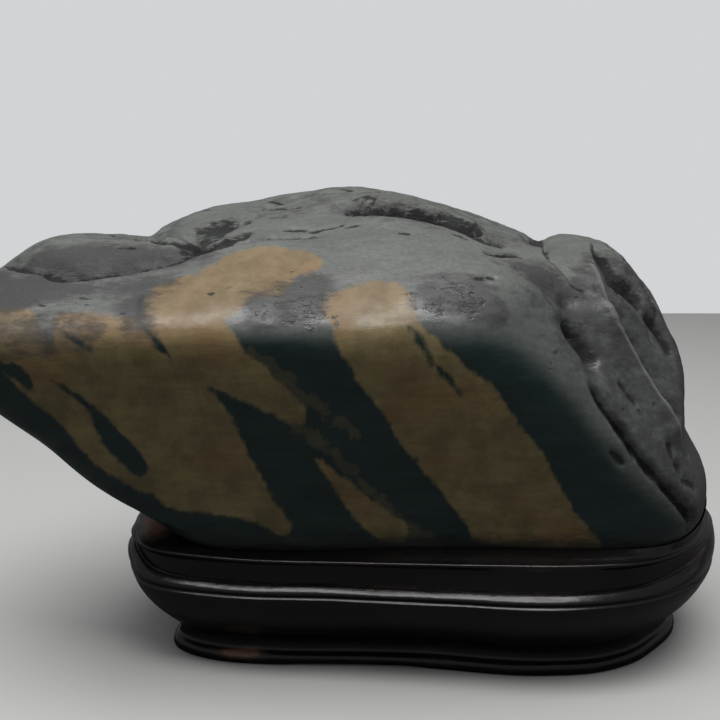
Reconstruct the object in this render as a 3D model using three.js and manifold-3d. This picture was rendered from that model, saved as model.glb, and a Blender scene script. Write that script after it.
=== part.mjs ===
// Suiseki: a dark, water-worn stone with tan bands, resting in a carved and lacquered wooden stand.
// The origin is the middle of the stand's flat underside. +X runs along the stone's length to the
// right as its front is seen, +Y to its back, +Z up. Lengths are millimetres.

import * as THREE from "three";
import Module from "manifold-3d";

const { Manifold, Mesh } = await Module().then((made) => {
  made.setup();
  return made;
});

// Driving dimensions
const stoneBaseLevel = 37; // height of the stone's flat base above the stand's underside
const edgeRounding = 3.2; // softness of the edges where two worn faces of the stone meet
const seatGap = 0.5; // space between the stone and its seat, which covers the facets of both
const archRise = 0.6; // height of the shallow recess in the foot's front and back edges
const archInset = 6; // how far in under the foot the recess runs
const arrisLevel = 28.8; // the fine edge below the bead
const rimLevel = 40.5;
const rimRounding = 0.5; // how far the rim's rounded edge reaches down and in
const contactLevel = 43.2; // where the rim's top meets the stone at the front
const leftRise = 5; // how much higher the rim's top climbs under the overhanging left side
const rightRise = 4.5; // and around the right end
const leftDip = 2.8; // how much lower it meets the stone at the left of the front
const planHalf = [95, 47]; // half the stand's length and width, used to stretch its plan

const add = (a, b, scale = 1) => [a[0] + b[0] * scale, a[1] + b[1] * scale, a[2] + b[2] * scale];
const dot = (a, b) => a[0] * b[0] + a[1] * b[1] + a[2] * b[2];
const unit = (a) => add([0, 0, 0], a, 1 / Math.hypot(...a));

// Stone
// A solid block of hard river stone: broad worn faces that meet in soft edges, with the ledges,
// hollows, cracks and raised lobes of its top and right end. It was found in this shape.

const stoneCentre = [-20, -2, 90];

// Each worn face has its outward direction and a point that it passes through.
const wornFaces = [
  { side: "front", out: [-0.02, -0.955, -0.295], through: [-38, -58, 114] },
  { side: "rounding of the front shoulder", out: [0.01, -0.78, 0.62], through: [-60, -57.6, 112] },
  { side: "front shoulder", out: [-0.06, -0.43, 0.9], through: [-20, -58, 115] },
  { side: "crest", out: [-0.12, -0.1, 1], through: [-28, 12, 149.2] },
  { side: "top right", out: [0.36, -0.12, 0.92], through: [12, 5, 136] },
  { side: "top left", out: [-0.27, -0.05, 0.96], through: [-62, 5, 142] },
  { side: "left lobe", out: [-0.3, -0.1, 0.95], through: [-108, -5, 132.2] },
  { side: "top back", out: [0, 0.55, 0.83], through: [-25, 30, 143] },
  { side: "back", out: [0.05, 0.98, 0.12], through: [-20, 54, 90] },
  { side: "back below", out: [0, 0.8, -0.6], through: [-20, 48, 60] },
  { side: "base", out: [0, 0, -1], through: [0, 0, stoneBaseLevel] },
  { side: "left below", out: [-0.62, -0.18, -0.76], through: [-104.7, -35.2, 66.1] },
  { side: "left tip", out: [-0.97, -0.1, -0.15], through: [-135, -20, 100] },
  { side: "left tip top", out: [-0.64, -0.15, 0.75], through: [-137, -8, 127] },
  { side: "left back", out: [-0.66, 0.72, 0.1], through: [-95, 35, 100] },
  { side: "right front", out: [0.62, -0.58, 0.52], through: [46, -48, 84] },
  { side: "rounding of the front's right", out: [0.33, -0.87, 0.13], through: [43, -48.7, 83.7] },
  { side: "right", out: [0.93, -0.1, 0.3], through: [82, 5, 88] },
  { side: "right below", out: [0.9, -0.38, 0.04], through: [88.2, -14, 54] },
  { side: "right corner below", out: [0.6, -0.6, -0.56], through: [77.5, -32, 46] },
  { side: "right back", out: [0.62, 0.75, 0.2], through: [60, 40, 80] },
  { side: "right shoulder", out: [0.72, -0.05, 0.69], through: [64, 5, 124] },
].map((face) => {
  const out = unit(face.out);
  return { out, offset: dot(out, face.through) };
});

// Height above the block: a smooth maximum of the heights above its faces, and its direction.
function blockHeight(point) {
  const heights = wornFaces.map((face) => (dot(face.out, point) - face.offset) / edgeRounding);
  const highest = Math.max(...heights);
  const weights = heights.map((height) => Math.exp(height - highest));
  const total = weights.reduce((sum, weight) => sum + weight, 0);
  const out = wornFaces.reduce((sum, face, i) => add(sum, face.out, weights[i] / total), [0, 0, 0]);
  return { height: edgeRounding * (highest + Math.log(total)), out };
}

// The point where a ray from the stone's centre leaves the block, found with Newton's steps.
function onBlock(direction) {
  const ray = unit(direction);
  let reach = Infinity;
  for (const face of wornFaces) {
    const speed = dot(face.out, ray);
    if (speed > 1e-6) reach = Math.min(reach, (face.offset - dot(face.out, stoneCentre)) / speed);
  }
  for (let step = 0; step < 12; step += 1) {
    const { height, out } = blockHeight(add(stoneCentre, ray, reach));
    reach -= height / Math.max(dot(out, ray), 0.05);
  }
  return add(stoneCentre, ray, reach);
}

// A groove follows a smooth path laid on the block. Its depth falls away over the near width on one
// side and the far width on the other, which lies in the far direction. Less than 0 is a ridge.
const grooves = [
  {
    name: "ledge under the left lobe",
    path: [[-130, -13, 120.5], [-120, -24.5, 121], [-113.5, -28, 121.5], [-106, -33, 120.5],
      [-99, -32, 122], [-92, -30, 123], [-86, -28.5, 124.5], [-80.5, -27, 125.5], [-75, -25.5, 126.5],
      [-70, -22.5, 128.5], [-64, -20.5, 129.5], [-57, -18, 131]],
    depth: 4.4, near: 1.6, far: 6.5, toFar: [0, 1, 0],
  },
  {
    name: "end of the ledge",
    path: [[-60, -19, 130.5], [-46.5, -19, 132], [-33, -18, 133]],
    depth: 1.7, near: 1.5, far: 2.6, toFar: [0, 1, 0],
  },
  {
    name: "crease behind the ledge",
    path: [[-77, -20, 129], [-72, -18, 130], [-65.5, -16.5, 131.5], [-55, -12.5, 134]],
    depth: 1.7, near: 1.5, far: 2.4, toFar: [0, 1, 0],
  },
  {
    name: "mouth of the left hollow",
    path: [[-91, 6, 132.5], [-87, -2, 132.5], [-81, -8, 132], [-76, -10.5, 132], [-71, -12, 132],
      [-65, -11.5, 133], [-61.5, -8, 135], [-57, -1, 137.5]],
    depth: 4.4, near: 1.6, far: 5.5, toFar: [0, 1, 0],
  },
  {
    name: "long groove of the crest",
    path: [[-29, -3, 139.5], [-23.5, -6.5, 138], [-14, -8.5, 137], [-5, -9.5, 136.5], [1, -10.5, 135],
      [5.5, -11.5, 134], [10, -13, 133], [14.5, -15.5, 131], [17.5, -14.5, 130], [21.5, -8, 130]],
    depth: 4.8, near: 1.5, far: 3, toFar: [0, 1, 0],
  },
  {
    name: "wall behind the long groove",
    path: [[-26, 0.5, 140], [-14, -4, 138.5], [-5, -5, 137.5], [5.5, -6.5, 135.5], [15, -7, 132.5]],
    depth: -3.2, near: 1.6, far: 9, toFar: [0, 1, 0],
  },
  {
    name: "left saddle",
    path: [[-88, -6, 131], [-92, 15, 133], [-96, 45, 125]],
    depth: 2.6, near: 7, far: 7, toFar: [1, 0, 0],
  },
  {
    name: "right saddle",
    path: [[35, -2, 126], [35.5, 12, 128], [35.5, 40, 122]],
    depth: 3.2, near: 5, far: 2.4, toFar: [1, 0, 0],
  },
  {
    name: "hollow of the right end",
    path: [[49, 2, 121], [49.5, -5, 119], [52, -9, 115.5], [56, -8.5, 113], [60, -6.5, 110.5],
      [63, -6, 107]],
    depth: 6, near: 1.6, far: 6.5, toFar: [1, 0.2, 0.2],
  },
  {
    name: "second hollow of the right end",
    path: [[66.5, -5, 106], [71, -4, 101.5], [73.5, -4.5, 97.5], [75.5, -5.5, 93.5]],
    depth: 3.2, near: 1.6, far: 2.6, toFar: [1, 0, 0],
  },
  {
    name: "ridge beside the hollow",
    path: [[43.5, -9, 120], [45.5, -13, 117.5], [47, -17, 114], [49, -20.5, 110], [51, -22.5, 106]],
    depth: -1.8, near: 3.5, far: 1.6, toFar: [1, 0.3, 0],
  },
  {
    name: "ridge of the right end",
    path: [[46, -20, 114], [48.5, -23.5, 108], [52, -24, 103], [56.5, -25.5, 96.5], [60.5, -27, 90],
      [63.5, -28, 85], [67.5, -28.5, 79.5], [71.5, -30, 72.5]],
    depth: -3.2, near: 5, far: 1.6, toFar: [1, 0.5, 0],
  },
  {
    name: "groove behind the ridge",
    path: [[51, -21, 108], [55, -21.5, 103], [59.5, -22.5, 96], [63, -23.5, 90], [66, -25, 84.5],
      [70, -25.5, 79], [73.5, -26, 74]],
    depth: 4.8, near: 1.6, far: 5.5, toFar: [1, 0.5, 0],
  },
  {
    name: "crack of the right end",
    path: [[40.5, -43.5, 93], [44.5, -43.5, 87.5], [47.5, -43.5, 83.5], [51, -43, 79], [53.5, -43, 75],
      [56.5, -42.5, 71], [62, -41, 65], [65.5, -40, 61], [69.5, -38.5, 56.5], [74.5, -34.5, 50.5],
      [75, -32.5, 46]],
    depth: 2.8, near: 1.5, far: 1.8, toFar: [1, 0.5, 0],
  },
  {
    name: "rough pit",
    path: [[34, -37.5, 110], [37, -37, 106], [40, -36.5, 102.5], [42.5, -38.5, 98]],
    depth: 2.8, near: 2.6, far: 3.4, toFar: [1, 0, 0],
  },
  {
    name: "edge of the flaked patch",
    path: [[14.5, -33, 126.5], [20.5, -33, 124.5], [26, -34, 120.5], [30, -35.5, 116]],
    depth: 1.5, near: 1.5, far: 4, toFar: [1, 0.5, 0.3],
  },
  {
    name: "crack across the right of the top",
    path: [[36, 4, 126.5], [33.5, -9, 125.5], [34, -13.5, 124.5], [38, -18.5, 121], [41, -21, 118],
      [44.5, -20.5, 115.5]],
    depth: 2, near: 1.5, far: 2.2, toFar: [1, 0.3, 0],
  },
  {
    name: "ledge of the back",
    path: [[-100, 34, 108], [-62, 52, 116], [-20, 55, 112], [20, 53, 103], [52, 42, 90]],
    depth: 4, near: 2.2, far: 9, toFar: [0, 0, 1],
  },
  {
    name: "hollow of the back",
    path: [[-52, 55, 84], [-26, 56, 77], [2, 55, 70]],
    depth: 3.2, near: 7, far: 5, toFar: [0, 0, 1],
  },
  {
    name: "crack of the back",
    path: [[26, 50, 118], [36, 50, 94], [46, 46, 68], [50, 42, 52]],
    depth: 2.6, near: 1.8, far: 2.8, toFar: [1, 0, 0],
  },
];

// A lump is a round swelling: its middle, its height (less than 0 is a pit) and its reach each way.
const lumps = [
  { name: "left lobe", middle: [-121, 2, 124], height: 6.5, reach: [22, 34, 16] },
  { name: "depth of the left hollow", middle: [-66, -3, 135], height: -4.5, reach: [9, 6, 7] },
  { name: "pit under the flaked patch", middle: [37, -29, 114.5], height: -2.2, reach: [4.5, 4.5, 2.6] },
  { name: "right lobe", middle: [56, 12, 124.5], height: 11, reach: [17, 26, 14] },
  { name: "flaked patch", middle: [34, -27, 120], height: -1.6, reach: [8, 9, 7] },
  { name: "swelling above the knuckle", middle: [72, 4, 109], height: 1.9, reach: [9, 14, 8] },
  { name: "right knuckle", middle: [82, 4, 95], height: 3.3, reach: [8, 14, 10.5] },
  { name: "right waist", middle: [86, -8, 70], height: -4, reach: [12, 26, 10] },
];

// Long shallow waves keep the worn faces from being flat: direction, length, phase and height.
// They are gentler on the smooth front, and die away below, where the stone sits in its seat.
const waves = [
  { along: [1, 0.3, 0.2], length: 46, phase: 0.4, height: 0.5 },
  { along: [0.2, 1, -0.4], length: 37, phase: 1.7, height: 0.5 },
  { along: [-0.5, 0.2, 1], length: 29, phase: 0.2, height: 0.35 },
  { along: [0.8, -0.6, 0.5], length: 19, phase: 2.6, height: 0.22 },
];

// A Catmull-Rom curve through a path's points, sampled every 2.5 mm or so and dropped on the block.
function laidPath(points) {
  const ends = [add(points[0], add(points[0], points[1], -1)), ...points];
  ends.push(add(points.at(-1), add(points.at(-1), points.at(-2), -1)));
  const curve = [];
  for (let i = 1; i < ends.length - 2; i += 1) {
    const [before, from, to, after] = ends.slice(i - 1, i + 3);
    const count = Math.max(1, Math.round(Math.hypot(...add(to, from, -1)) / 2.5));
    for (let step = 0; step < count; step += 1) {
      const t = step / count;
      const value = (k) =>
        0.5 * (2 * from[k] + (to[k] - before[k]) * t +
          (2 * before[k] - 5 * from[k] + 4 * to[k] - after[k]) * t ** 2 +
          (3 * from[k] - before[k] - 3 * to[k] + after[k]) * t ** 3);
      curve.push([value(0), value(1), value(2)]);
    }
  }
  curve.push(points.at(-1));
  return curve.map((point) => onBlock(add(point, stoneCentre, -1)));
}

const laidGrooves = grooves.map((groove) => {
  const curve = laidPath(groove.path);
  const margin = 2.6 * Math.max(groove.near, groove.far);
  const low = [0, 1, 2].map((k) => Math.min(...curve.map((point) => point[k])) - margin);
  const high = [0, 1, 2].map((k) => Math.max(...curve.map((point) => point[k])) + margin);
  return { ...groove, curve, low, high };
});

// The offset of a point from the nearest place on a curve of straight runs.
function offsetFrom(point, curve) {
  let nearest = null;
  let least = Infinity;
  for (let i = 0; i + 1 < curve.length; i += 1) {
    const run = add(curve[i + 1], curve[i], -1);
    const rise = add(point, curve[i], -1);
    const share = Math.min(1, Math.max(0, dot(rise, run) / dot(run, run)));
    const offset = add(rise, run, -share);
    const distance = Math.hypot(...offset);
    if (distance < least) {
      least = distance;
      nearest = offset;
    }
  }
  return { offset: nearest, distance: least };
}

// How far the stone's surface stands out from its block at a point of the block.
function relief(point, out) {
  let height = 0;
  for (const groove of laidGrooves) {
    if ([0, 1, 2].some((k) => point[k] < groove.low[k] || point[k] > groove.high[k])) continue;
    const { offset, distance } = offsetFrom(point, groove.curve);
    const width = dot(offset, groove.toFar) < 0 ? groove.near : groove.far;
    height -= groove.depth * Math.exp(-((distance / width) ** 2));
  }
  for (const lump of lumps) {
    const share = [0, 1, 2].map((k) => (point[k] - lump.middle[k]) / lump.reach[k]);
    height += lump.height * Math.exp(-dot(share, share));
  }
  const seat = Math.min(1, Math.max(0, (point[2] - 42) / 14));
  const wear = (1 - 0.75 * Math.max(0, -out[1]) ** 2) * seat;
  for (const wave of waves) {
    const turn = (2 * Math.PI * dot(point, unit(wave.along))) / wave.length + wave.phase;
    height += wear * wave.height * Math.sin(turn);
  }
  return height;
}

// The stone as a closed solid, grown outwards by a gap: a grid on the six sides of a box around it,
// each crossing carried out along its ray from the centre to the block and then along the relief.
function stoneSolid(cell, gap) {
  const half = [100, 50, 46];
  const steps = half.map((length) => Math.max(2, Math.round((2 * length) / cell)));
  const known = new Map();
  const positions = [];
  const triangles = [];
  const corner = (grid) => {
    const key = grid.join(",");
    if (!known.has(key)) {
      const point = onBlock(grid.map((step, k) => half[k] * ((2 * step) / steps[k] - 1)));
      const out = unit(blockHeight(point).out);
      known.set(key, positions.length / 3);
      positions.push(...add(point, out, relief(point, out) + gap));
    }
    return known.get(key);
  };
  for (let axis = 0; axis < 3; axis += 1) {
    const [a, b] = [(axis + 1) % 3, (axis + 2) % 3];
    for (const side of [0, steps[axis]]) {
      for (let i = 0; i < steps[a]; i += 1) {
        for (let j = 0; j < steps[b]; j += 1) {
          const at = (di, dj) => {
            const grid = [0, 0, 0];
            grid[axis] = side;
            grid[a] = i + di;
            grid[b] = j + dj;
            return corner(grid);
          };
          const quad = [at(0, 0), at(1, 0), at(1, 1), at(0, 1)];
          if (side === 0) quad.reverse();
          triangles.push(quad[0], quad[1], quad[2], quad[0], quad[2], quad[3]);
        }
      }
    }
  }
  return closedSolid(positions, triangles);
}

function closedSolid(positions, triangles) {
  return new Manifold(
    new Mesh({
      numProp: 3,
      vertProperties: new Float32Array(positions),
      triVerts: new Uint32Array(triangles),
    }),
  );
}

// Stand
// A one-piece carved hardwood stand under dark lacquer: a low flared foot, a swelling belly, a bead
// over a fine arris, a cove and a thin rim whose top slopes up to meet the stone. Its top is hollowed
// to the stone's own shape, so that the stone sits in it by its weight.

// Plan outlines at three levels, as points around the stand.
const footOutline = [
  [-80.5, 0], [-84, -11], [-82.5, -18.8], [-77.3, -23.2], [-67, -27.2], [-50, -29.3], [-30, -30],
  [0, -31.8], [34, -35.6], [48.8, -34.2], [60, -30], [72.1, -20.5], [82.3, -7.9], [84.5, 3], [76, 20],
  [54, 31.5], [20, 34.2], [-15, 33.5], [-48, 30.5], [-75, 19.5],
];
const beadOutline = [
  [-97.5, 0], [-94.7, -21.4], [-86.1, -33.6], [-64.1, -40.1], [-30, -42.6], [0, -45.4],
  [40.8, -47.7], [59, -43.8], [75.5, -34.5], [86, -22.5], [94, -3], [92.5, 16], [82.5, 31],
  [62, 41.8], [25, 46], [-12, 45.2], [-50, 41.5], [-75, 34.5], [-91, 21],
];
const rimOutline = [
  [-95.5, 0], [-93, -20], [-85, -33.5], [-65.3, -38.9], [-30, -41.7], [17.1, -43.8], [41, -44],
  [59.2, -41.7], [70.5, -36], [78, -29.2], [84, -21], [88.6, -12], [92.6, 1], [91, 16], [79, 31.5],
  [50, 40.7], [15, 43.2], [-35, 41], [-68, 34.5], [-88, 21.5],
];

// The belly from the waist up to the arris: how far out from the foot's outline to the bead's, and the
// height.
const belly = [
  [0.06, 11.4], [0.42, 15.8], [0.73, 20.8], [0.93, 25.7], [1, arrisLevel],
];
// The bead and the cove above it, in the same way: along the sides, where the bead is slim, at the left
// end, where it swells up to a narrow groove, and at the right end, where it fills the cove.
const bead = [
  { side: [0.95, 29.4], left: [0.985, 29.6], right: [1, 29.9] },
  { side: [0.984, 30.55], left: [1.035, 32.4], right: [1.025, 32.8] },
  { side: [0.934, 31.35], left: [1.02, 34], right: [1.024, 34.8] },
  { side: [0.84, 32.2], left: [0.95, 35.3], right: [1.002, 36.4] },
  { side: [0.79, 32.4], left: [0.865, 36], right: [0.975, 37.7] },
  { side: [0.75, 31.5], left: [0.822, 36.1], right: [0.95, 38.6] },
  { side: [0.705, 32], left: [0.815, 36.8], right: [0.932, 39.25] },
  { side: [0.698, 36], left: [0.86, 37.7], right: [0.92, 39.75] },
  { side: [0.712, 38.8], left: [0.94, 38.5], right: [0.915, 40.1] },
];

// The radius of an outline over the angle of the stretched plan, as a smooth closed curve.
function outlineCurve(points) {
  const polar = points
    .map(([x, y]) => [x / planHalf[0], y / planHalf[1]])
    .map(([x, y]) => [Math.atan2(y, x), Math.hypot(x, y)])
    .sort((a, b) => a[0] - b[0]);
  const turn = 2 * Math.PI;
  const knots = [
    ...polar.slice(-2).map(([angle, radius]) => [angle - turn, radius]),
    ...polar,
    ...polar.slice(0, 3).map(([angle, radius]) => [angle + turn, radius]),
  ];
  const slope = (i) => {
    const [before, here, after] = [knots[i - 1], knots[i], knots[i + 1]];
    const left = here[0] - before[0];
    const right = after[0] - here[0];
    const rise = ((here[1] - before[1]) * right) / left + ((after[1] - here[1]) * left) / right;
    return rise / (left + right);
  };
  return (angle) => {
    let i = 1;
    while (knots[i + 1][0] <= angle) i += 1;
    const span = knots[i + 1][0] - knots[i][0];
    const t = (angle - knots[i][0]) / span;
    const radius =
      (2 * t ** 3 - 3 * t ** 2 + 1) * knots[i][1] + (t ** 3 - 2 * t ** 2 + t) * span * slope(i) +
      (3 * t ** 2 - 2 * t ** 3) * knots[i + 1][1] + (t ** 3 - t ** 2) * span * slope(i + 1);
    return [radius * Math.cos(angle) * planHalf[0], radius * Math.sin(angle) * planHalf[1]];
  };
}

// How near an angle around the stand is to a middle, as a bell of height 1.
function swell(angle, middle, width) {
  const away = ((angle - middle + 5 * Math.PI) % (2 * Math.PI)) - Math.PI;
  return Math.exp(-((away / width) ** 2));
}

// The share of a shallow recess in the foot's edge, which rises between two lengths along X.
const recess = (x, from, to) => 1 / (1 + Math.exp(-(x - from) / 2)) / (1 + Math.exp((x - to) / 2));

// Where the block meets a level, along a direction of the stretched plan.
function blockOutline(angle, level) {
  const ray = [Math.cos(angle) * planHalf[0], Math.sin(angle) * planHalf[1]];
  let inside = 0.2;
  let outside = 1.6;
  for (let step = 0; step < 30; step += 1) {
    const middle = (inside + outside) / 2;
    if (blockHeight([ray[0] * middle, ray[1] * middle, level]).height > 0) outside = middle;
    else inside = middle;
  }
  return [ray[0] * inside, ray[1] * inside];
}

function standSolid(stations) {
  const curves = [footOutline, beadOutline, rimOutline].map(outlineCurve);
  const rings = [];
  for (let station = 0; station < stations; station += 1) {
    const angle = (station / stations) * 2 * Math.PI - Math.PI;
    const [foot, widest, rim] = curves.map((curve) => curve(angle));
    const out = unit([foot[0] / planHalf[0] ** 2, foot[1] / planHalf[1] ** 2, 0]);
    const left = swell(angle, -2.92, 0.36);
    const right = swell(angle, -0.08, 0.42);
    const filled = Math.exp(-(((angle + 0.08) / 0.68) ** 4));
    const dip = leftDip * swell(angle, -2.2, 0.36);
    const top = contactLevel + leftRise * left + rightRise * right - dip;
    const edgeLevel = rimLevel + 0.8 * left + 1.2 * right + 0.5 * swell(angle, -2.5, 0.3);
    const contact = blockOutline(angle, top);
    const arch = foot[1] < 0 ? recess(foot[0], -46, -4) : recess(foot[0], -34, 30);
    const inFrom = (point, inset, z) => [point[0] - out[0] * inset, point[1] - out[1] * inset, z];
    const between = (from, to, share, z) => [
      from[0] + (to[0] - from[0]) * share, from[1] + (to[1] - from[1]) * share, z,
    ];
    const blended = (place, k) =>
      place.side[k] + (place.left[k] - place.side[k]) * left + (place.right[k] - place.side[k]) * filled;
    const edge = inFrom(rim, 1.1, edgeLevel + 0.3);
    rings.push([
      inFrom(foot, archInset, 0),
      inFrom(foot, archInset - 0.2, archRise * arch),
      inFrom(foot, 1.4, archRise * arch),
      inFrom(foot, 0.2, 0.7 + 0.9 * archRise * arch),
      inFrom(foot, 0, 2 + 0.6 * archRise * arch),
      inFrom(foot, 0.4, 3.8 + 0.1 * archRise * arch),
      inFrom(foot, 1.9, 5.4),
      inFrom(foot, 2.2, 8.4),
      ...belly.map(([share, z]) => between(foot, widest, share, z)),
      ...bead.map((place) => between(foot, widest, blended(place, 0), blended(place, 1))),
      inFrom(rim, 0, edgeLevel - rimRounding),
      inFrom(rim, 0.3, edgeLevel + 0.1),
      edge,
      between(edge, contact, 0.4, edge[2] + (top - edge[2]) * 0.48),
      between(edge, contact, 1, top),
      between([0, 0], contact, 0.9, top),
    ]);
  }
  const levels = rings[0].length;
  const positions = rings.flat(2);
  const triangles = [];
  const at = (station, level) => (station % stations) * levels + level;
  for (let station = 0; station < stations; station += 1) {
    for (let level = 0; level + 1 < levels; level += 1) {
      const [a, b] = [at(station, level), at(station + 1, level)];
      const [c, d] = [at(station + 1, level + 1), at(station, level + 1)];
      triangles.push(a, b, c, a, c, d);
    }
    triangles.push(stations * levels, at(station + 1, 0), at(station, 0));
    triangles.push(stations * levels + 1, at(station, levels - 1), at(station + 1, levels - 1));
  }
  positions.push(0, 0, 0, 0, 0, contactLevel);
  return closedSolid(positions, triangles);
}

function meshOf(name, solid, finish) {
  const made = solid.getMesh();
  const geometry = new THREE.BufferGeometry();
  const points = new Float32Array(made.numVert * 3);
  for (let i = 0; i < made.numVert; i += 1) {
    for (let k = 0; k < 3; k += 1) points[i * 3 + k] = made.vertProperties[i * made.numProp + k];
  }
  geometry.setAttribute("position", new THREE.BufferAttribute(points, 3));
  geometry.setIndex(new THREE.BufferAttribute(new Uint32Array(made.triVerts), 1));
  geometry.computeVertexNormals();
  const mesh = new THREE.Mesh(geometry, new THREE.MeshStandardMaterial(finish));
  mesh.name = name;
  return mesh;
}

const stone = stoneSolid(3, 0).simplify(0.37);
const stand = standSolid(62).subtract(stoneSolid(3, seatGap).simplify(0.2)).simplify(0.05);

const suiseki = new THREE.Group();
suiseki.name = "suiseki";
suiseki.add(meshOf("stone", stone, { color: 0x4a4f4c, roughness: 0.5, metalness: 0 }));
suiseki.add(meshOf("stand", stand, { color: 0x1a1210, roughness: 0.25, metalness: 0 }));

export default suiseki;
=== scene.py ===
# Suiseki: a dark, water-worn stone with tan bands, resting in a carved and lacquered wooden stand.
# Sizes in this file are millimetres in the part's own frame until a mesh is made: X to the right along
# the stone as its front is seen, Y to its back, Z up, from the middle of the stand's flat underside.

import math

import bpy
import numpy as np
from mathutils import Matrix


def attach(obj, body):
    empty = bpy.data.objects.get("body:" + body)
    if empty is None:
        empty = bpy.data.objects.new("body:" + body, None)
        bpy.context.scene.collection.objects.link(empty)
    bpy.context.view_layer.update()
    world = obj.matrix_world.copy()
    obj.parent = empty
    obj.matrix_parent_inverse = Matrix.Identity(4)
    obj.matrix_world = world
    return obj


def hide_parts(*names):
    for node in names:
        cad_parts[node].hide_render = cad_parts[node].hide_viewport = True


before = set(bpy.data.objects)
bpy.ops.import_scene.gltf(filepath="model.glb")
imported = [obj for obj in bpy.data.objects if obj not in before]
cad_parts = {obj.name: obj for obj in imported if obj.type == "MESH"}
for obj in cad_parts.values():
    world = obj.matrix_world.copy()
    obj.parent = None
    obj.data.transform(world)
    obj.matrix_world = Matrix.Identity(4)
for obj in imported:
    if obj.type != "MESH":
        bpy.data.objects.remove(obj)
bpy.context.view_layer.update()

# Stone
# One block of hard river stone, found in this shape. The river polished its dark green-black front
# with the slanting tan bands, and weather turned its top, back and right end grey, with ledges,
# hollows, cracks and pits. Nothing fixes it: it sits in its stand by its weight.

millimetre = 0.001  # in metres, which meshes are in
stone_centre = np.array([-20.0, -2.0, 90.0])  # rays from here meet each part of the surface once
edge_rounding = 3.2  # how softly the worn faces run into each other

# Each worn face of the block: its outward direction and a point that it passes through.
worn_faces = [
    ((-0.02, -0.955, -0.295), (-38, -58, 114)),  # front
    ((0.01, -0.78, 0.62), (-60, -57.6, 112)),  # rounding of the front shoulder
    ((-0.06, -0.43, 0.9), (-20, -58, 115)),  # front shoulder
    ((-0.12, -0.1, 1), (-28, 12, 149.2)),  # crest
    ((0.36, -0.12, 0.92), (12, 5, 136)),  # top right
    ((-0.27, -0.05, 0.96), (-62, 5, 142)),  # top left
    ((-0.3, -0.1, 0.95), (-108, -5, 132.2)),  # left lobe
    ((0, 0.55, 0.83), (-25, 30, 143)),  # top back
    ((0.05, 0.98, 0.12), (-20, 54, 90)),  # back
    ((0, 0.8, -0.6), (-20, 48, 60)),  # back below
    ((0, 0, -1), (0, 0, 37)),  # base
    ((-0.62, -0.18, -0.76), (-104.7, -35.2, 66.1)),  # left below
    ((-0.97, -0.1, -0.15), (-135, -20, 100)),  # left tip
    ((-0.64, -0.15, 0.75), (-137, -8, 127)),  # left tip top
    ((-0.66, 0.72, 0.1), (-95, 35, 100)),  # left back
    ((0.62, -0.58, 0.52), (46, -48, 84)),  # right front
    ((0.33, -0.87, 0.13), (43, -48.7, 83.7)),  # rounding between the front and the right front
    ((0.93, -0.1, 0.3), (82, 5, 88)),  # right
    ((0.9, -0.38, 0.04), (88.2, -14, 54)),  # right below
    ((0.6, -0.6, -0.56), (77.5, -32, 46)),  # right corner below
    ((0.62, 0.75, 0.2), (60, 40, 80)),  # right back
    ((0.72, -0.05, 0.69), (64, 5, 124)),  # right shoulder
]


def unit(vectors):
    """Each vector divided by its own length."""
    return vectors / np.linalg.norm(vectors, axis=-1, keepdims=True)


face_out = unit(np.array([out for out, _ in worn_faces], float))
face_offset = np.sum(face_out * np.array([through for _, through in worn_faces], float), axis=1)


def block_height(points):
    """Height above the block and the outward direction there. The height is a smooth maximum of the
    heights above all the faces: the logarithm of a sum of exponentials, scaled by the rounding."""
    heights = (points @ face_out.T - face_offset) / edge_rounding
    highest = heights.max(axis=-1, keepdims=True)
    weights = np.exp(heights - highest)
    total = weights.sum(axis=-1, keepdims=True)
    return edge_rounding * (highest + np.log(total))[..., 0], (weights / total) @ face_out


def on_block(directions):
    """Where rays from the stone's centre leave the block: from the nearest face plane that each ray
    meets, Newton's steps bring the height above the block to nothing."""
    rays = unit(directions)
    speed = np.maximum(rays @ face_out.T, 1e-6)
    reach = ((face_offset - face_out @ stone_centre) / speed).min(axis=-1)
    for _ in range(12):
        height, out = block_height(stone_centre + rays * reach[:, None])
        reach = reach - height / np.maximum(np.sum(out * rays, axis=-1), 0.05)
    return stone_centre + rays * reach[:, None]


def hashed(cells, seed):
    """A repeatable random number from 0 to 1 for each whole-numbered cell of a lattice."""
    x, y, z = cells.T
    mixed = (x * 374761393 + y * 668265263 + z * 1103515245 + seed * 1442695041) & 0xFFFFFFFF
    mixed = ((mixed ^ (mixed >> 13)) * 1274126177) & 0xFFFFFFFF
    return (mixed ^ (mixed >> 16)) / 2**32


def noise(points, size, seed, octaves=1):
    """Value noise from -1 to 1: random heights at the corners of a lattice, eased between them. Each
    further octave is half the size and half the height."""
    total = np.zeros(len(points))
    for octave in range(octaves):
        place = points / size * 2**octave
        corner = np.floor(place).astype(np.int64)
        share = place - corner
        share = share**3 * (share * (share * 6 - 15) + 10)
        for step in np.ndindex(2, 2, 2):
            weight = np.prod(np.where(step, share, 1 - share), axis=1)
            total += weight * (2 * hashed(corner + step, seed + octave) - 1) / 2**octave
    return total


def laid_path(points):
    """A Catmull-Rom curve through a path's points, in steps of about 2.5 mm, dropped on the block."""
    points = np.array(points, float)
    ends = np.vstack([2 * points[0] - points[1], points, 2 * points[-1] - points[-2]])
    curve = []
    for before, start, to, after in zip(ends, ends[1:], ends[2:], ends[3:]):
        count = max(1, round(np.linalg.norm(to - start) / 2.5))
        t = (np.arange(count) / count)[:, None]
        curve.append(
            0.5 * (2 * start + (to - before) * t + (2 * before - 5 * start + 4 * to - after) * t**2
                   + (3 * start - before - 3 * to + after) * t**3)
        )
    return on_block(np.concatenate([*curve, points[-1:]]) - stone_centre)


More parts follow.
